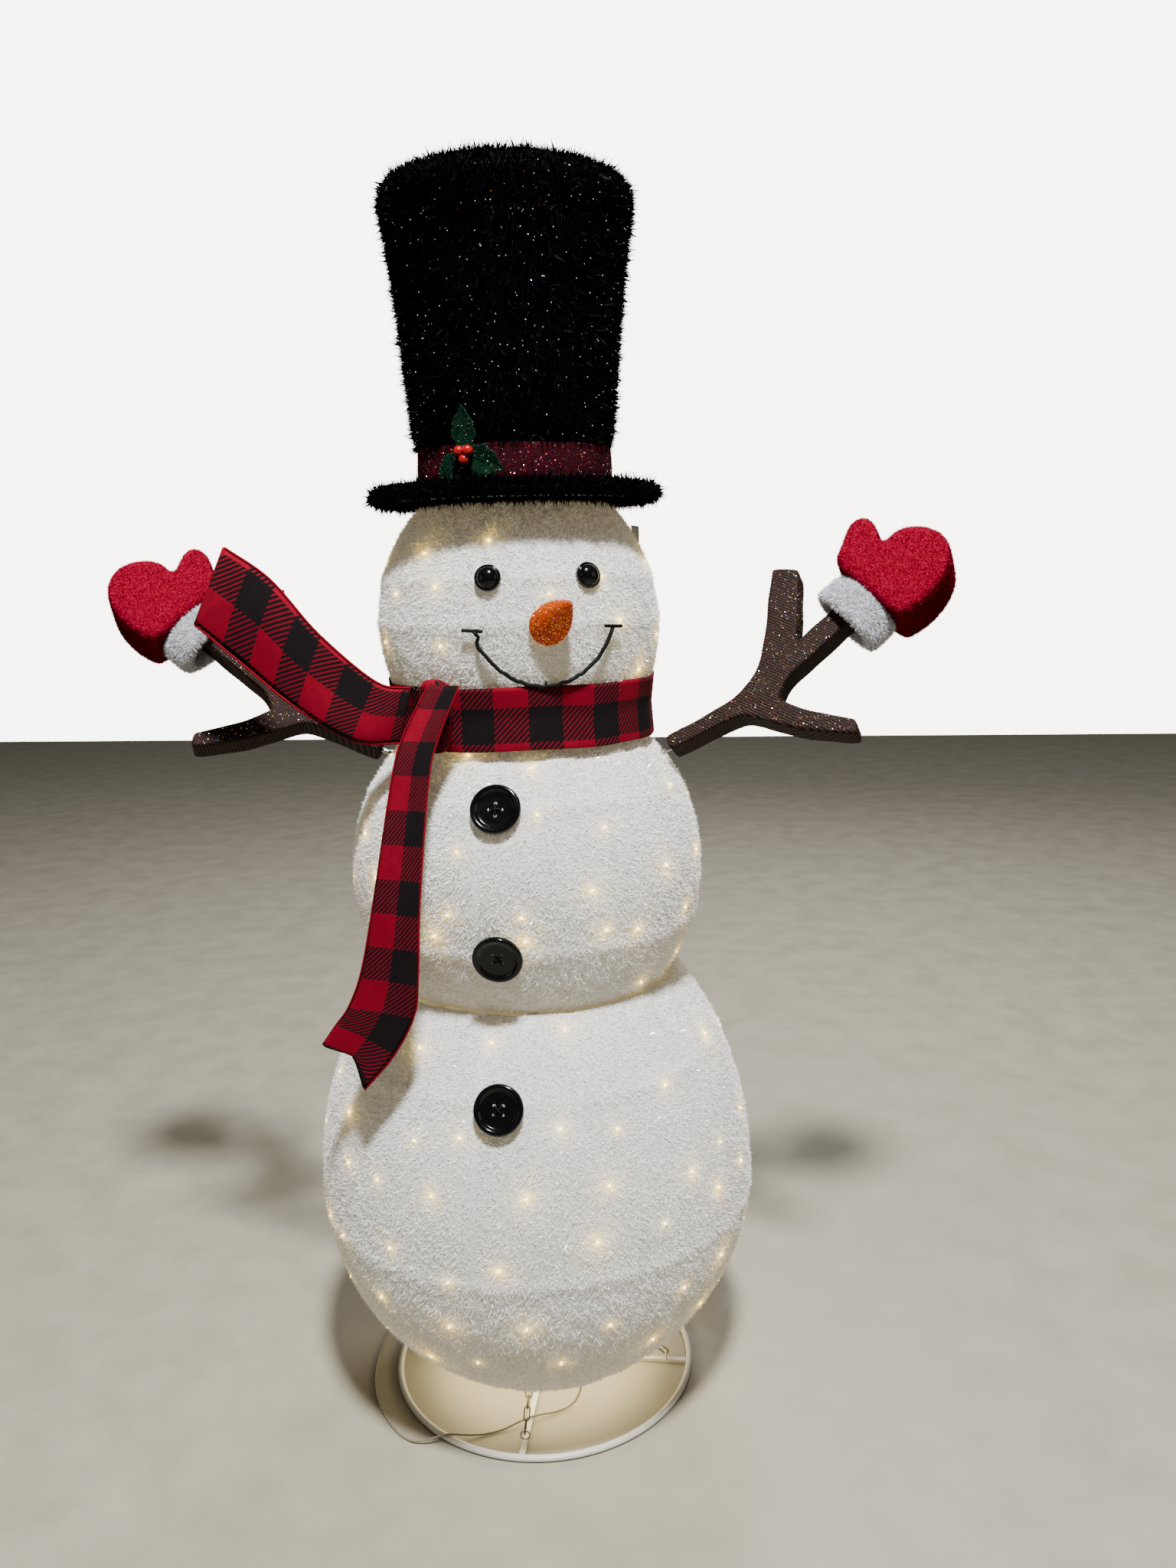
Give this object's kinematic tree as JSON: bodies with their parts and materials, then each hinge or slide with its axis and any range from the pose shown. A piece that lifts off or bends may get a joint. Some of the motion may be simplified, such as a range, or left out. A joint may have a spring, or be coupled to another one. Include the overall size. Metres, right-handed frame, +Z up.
{
  "type": "pop-up tinsel snowman decoration",
  "caption": "Life-size pop-up snowman: tinsel fabric over wire hoops on a telescoping pole, with top hat, plaid scarf, branch arms and a ring base.",
  "frame": {"origin": "middle of the underside of the base's crossed bars, on the floor", "axes": "+Z up along the pole; -Y is the front of the body, where the buttons are; +X is the arm on the viewer's right"},
  "size_m": [1.2946, 0.715, 1.826],
  "materials": {
    "tinsel_white": "matt white tinsel plush, very short pile",
    "tinsel_black": "matt black tinsel plush with sparse coloured specks",
    "glitter_red": "dark red glitter ribbon",
    "plaid": "red and black buffalo plaid twill",
    "mitten_red": "crimson plush",
    "cuff_white": "pale grey plush",
    "bark_mesh": "brown glitter mesh stretched over a shaped core",
    "gloss_black": "gloss black",
    "carrot": "orange glitter cloth, stuffed",
    "holly_green": "dark green glitter felt",
    "berry_red": "gloss red",
    "frame_white": "white gloss paint",
    "steel": "bright zinc",
    "cord_clear": "translucent cream plastic"
  },
  "bodies": {
    "base": {"base_ring": "frame_white", "base_spokes": "frame_white", "pole_socket": "frame_white", "chain_front": "steel", "chain_left": "steel", "chain_rear": "steel", "chain_right": "steel", "hoop_bottom": "frame_white", "pole_lower": "steel", "skin_lower": "tinsel_white", "skin_middle": "tinsel_white", "skin_head": "tinsel_white", "light_string_lower": "cord_clear", "light_string_middle": "cord_clear", "light_string_head": "cord_clear", "mouth": "gloss_black", "scarf_band": "plaid", "scarf_knot": "plaid", "scarf_tail_blown": "plaid", "scarf_tail_hanging": "plaid", "cord_clip": "cord_clear", "power_cord": "cord_clear", "cord_coil": "cord_clear", "plug": "cord_clear"},
    "pole_middle": {"pole_middle": "steel"},
    "lower_belly": {"hoop_lower_belly": "frame_white"},
    "lower_shoulder": {"hoop_lower_shoulder": "frame_white", "button_lower": "gloss_black"},
    "waist": {"hoop_waist": "frame_white"},
    "middle_belly": {"hoop_middle_belly": "frame_white", "button_middle": "gloss_black"},
    "chest": {"hoop_chest": "frame_white", "button_upper": "gloss_black"},
    "neck": {"hoop_neck": "frame_white", "arm_socket_left": "steel", "arm_socket_right": "steel"},
    "head_belly": {"hoop_head_belly": "frame_white", "nose": "carrot"},
    "head_upper": {"hoop_head_upper": "frame_white", "eye_left": "gloss_black", "eye_right": "gloss_black"},
    "crown": {"hoop_crown": "frame_white", "crown_spider": "steel", "pole_upper": "steel"},
    "hat": {"hat_crown": "tinsel_black", "hat_brim": "tinsel_black", "hat_band": "glitter_red", "hat_rim_wire": "frame_white", "hat_top_hoop": "frame_white", "holly_leaves": "holly_green", "holly_berries": "berry_red"},
    "arm_left": {"arm_left": "bark_mesh", "arm_rod_left": "steel", "cuff_left": "cuff_white", "mitten_left": "mitten_red"},
    "arm_right": {"arm_right": "bark_mesh", "arm_rod_right": "steel", "cuff_right": "cuff_white", "mitten_right": "mitten_red"}
  },
  "joints": [
    {"name": "crown_slide", "type": "slide", "parent": "base", "child": "crown", "axis": [0, 0, 1], "range_m": [-0.79, 0], "deforming": ["skin_lower", "skin_middle", "skin_head", "light_string_lower", "light_string_middle", "light_string_head", "mouth", "scarf_band", "scarf_knot", "scarf_tail_blown", "scarf_tail_hanging"]},
    {"name": "lower_belly_slide", "type": "slide", "parent": "base", "child": "lower_belly", "axis": [0, 0, 1], "range_m": [-0.1733, 0.002]},
    {"name": "lower_shoulder_slide", "type": "slide", "parent": "base", "child": "lower_shoulder", "axis": [0, 0, 1], "range_m": [-0.3152, 0.002]},
    {"name": "waist_slide", "type": "slide", "parent": "base", "child": "waist", "axis": [0, 0, 1], "range_m": [-0.3648, 0.002]},
    {"name": "middle_belly_slide", "type": "slide", "parent": "base", "child": "middle_belly", "axis": [0, 0, 1], "range_m": [-0.4402, 0.002]},
    {"name": "chest_slide", "type": "slide", "parent": "base", "child": "chest", "axis": [0, 0, 1], "range_m": [-0.5518, 0.002]},
    {"name": "neck_slide", "type": "slide", "parent": "base", "child": "neck", "axis": [0, 0, 1], "range_m": [-0.588, 0.002]},
    {"name": "head_belly_slide", "type": "slide", "parent": "base", "child": "head_belly", "axis": [0, 0, 1], "range_m": [-0.7006, 0.002]},
    {"name": "head_upper_slide", "type": "slide", "parent": "base", "child": "head_upper", "axis": [0, 0, 1], "range_m": [-0.7361, 0.002]},
    {"name": "pole_middle_slide", "type": "slide", "parent": "base", "child": "pole_middle", "axis": [0, 0, 1], "range_m": [-0.397, 0.002]},
    {"name": "hat_lift", "type": "slide", "parent": "crown", "child": "hat", "axis": [0, 0, 1], "range_m": [0, 0.14]},
    {"name": "arm_left_pull", "type": "slide", "parent": "neck", "child": "arm_left", "axis": [-0.9123, -0.0478, 0.4067], "range_m": [0, 0.08]},
    {"name": "arm_right_pull", "type": "slide", "parent": "neck", "child": "arm_right", "axis": [0.891, 0, 0.454], "range_m": [0, 0.08]}
  ],
  "couplings": [
    {"joint": "lower_belly_slide", "follows": "crown_slide", "ratio": 0.2168},
    {"joint": "lower_shoulder_slide", "follows": "crown_slide", "ratio": 0.3964},
    {"joint": "waist_slide", "follows": "crown_slide", "ratio": 0.4593},
    {"joint": "middle_belly_slide", "follows": "crown_slide", "ratio": 0.5547},
    {"joint": "chest_slide", "follows": "crown_slide", "ratio": 0.696},
    {"joint": "neck_slide", "follows": "crown_slide", "ratio": 0.7418},
    {"joint": "head_belly_slide", "follows": "crown_slide", "ratio": 0.8843},
    {"joint": "head_upper_slide", "follows": "crown_slide", "ratio": 0.9292},
    {"joint": "pole_middle_slide", "follows": "crown_slide", "ratio": 0.5}
  ]
}
